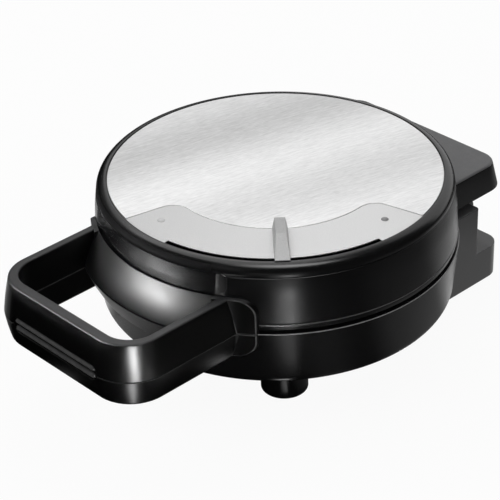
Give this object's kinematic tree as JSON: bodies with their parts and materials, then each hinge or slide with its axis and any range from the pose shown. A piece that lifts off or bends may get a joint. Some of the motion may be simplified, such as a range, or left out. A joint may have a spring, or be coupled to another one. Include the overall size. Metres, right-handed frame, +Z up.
{
  "type": "waffle cone maker",
  "caption": "Round electric waffle cone maker: hinged lid with a steel disc and browning slider, patterned baking plates, split loop handle, stepped hinge stand and round feet.",
  "frame": {"origin": "on the table, under the middle of the object's outline box", "axes": "+Z up, -Y towards the handle at the front, +Y towards the hinge, +X to the right seen from the handle"},
  "size_m": [0.22, 0.311, 0.113],
  "materials": {
    "casing_black": "gloss black moulded plastic",
    "inner_black": "matt black moulded plastic",
    "fastener_steel": "zinc-plated steel",
    "pad_rubber": "black rubber",
    "plate_aluminium": "cast aluminium with a dark non-stick coat",
    "element_steel": "heat-tinted steel tube",
    "sheet_steel": "plain steel sheet",
    "terminal_plastic": "pale heat-proof moulding",
    "disc_steel": "stainless steel brushed in straight lines",
    "scale_silver": "satin silver",
    "knob_silver": "satin silver paint on plastic",
    "lens_clear": "clear lens",
    "lens_smoke": "smoked lens",
    "lamp_glass": "small neon lamp"
  },
  "bodies": {
    "base": {"lower_casing": "casing_black", "bottom_cover": "inner_black", "bottom_screws": "fastener_steel", "front_feet": "casing_black", "foot_screws": "fastener_steel", "foot_pads": "pad_rubber", "rear_stand": "casing_black", "hinge_tower": "casing_black", "stand_screws": "fastener_steel", "hinge_pins": "fastener_steel", "cord_gland": "inner_black", "lower_handle": "casing_black", "lower_handle_screws": "fastener_steel", "lower_plate": "plate_aluminium", "lower_plate_screws": "fastener_steel", "lower_element": "element_steel", "lower_reflector": "sheet_steel", "lower_reflector_screws": "fastener_steel", "terminal_block": "terminal_plastic", "thermal_fuse": "element_steel"},
    "lid": {"upper_casing": "casing_black", "lid_disc": "disc_steel", "scale_plate": "scale_silver", "power_lens": "lens_clear", "ready_lens": "lens_smoke", "indicator_lamps": "lamp_glass", "upper_handle": "casing_black", "upper_handle_screws": "fastener_steel", "hinge_cover": "casing_black", "hinge_cover_screws": "fastener_steel", "upper_plate": "plate_aluminium", "upper_plate_screws": "fastener_steel", "upper_element": "element_steel", "upper_reflector": "sheet_steel", "upper_reflector_screws": "fastener_steel", "thermostat": "terminal_plastic", "thermostat_bracket": "sheet_steel"},
    "slider": {"slider_knob": "knob_silver", "slider_lever": "sheet_steel", "thermostat_spindle": "fastener_steel"}
  },
  "joints": [
    {"name": "lid_hinge", "type": "hinge", "parent": "base", "child": "lid", "pos_m": [0, 0.127, 0.055], "axis": [-1, 0, 0], "range_deg": [0, 100]},
    {"name": "browning_slider", "type": "hinge", "parent": "lid", "child": "slider", "pos_m": [0, 0.017, 0.099], "axis": [0, 0, 1], "range_deg": [-37, 31]}
  ]
}
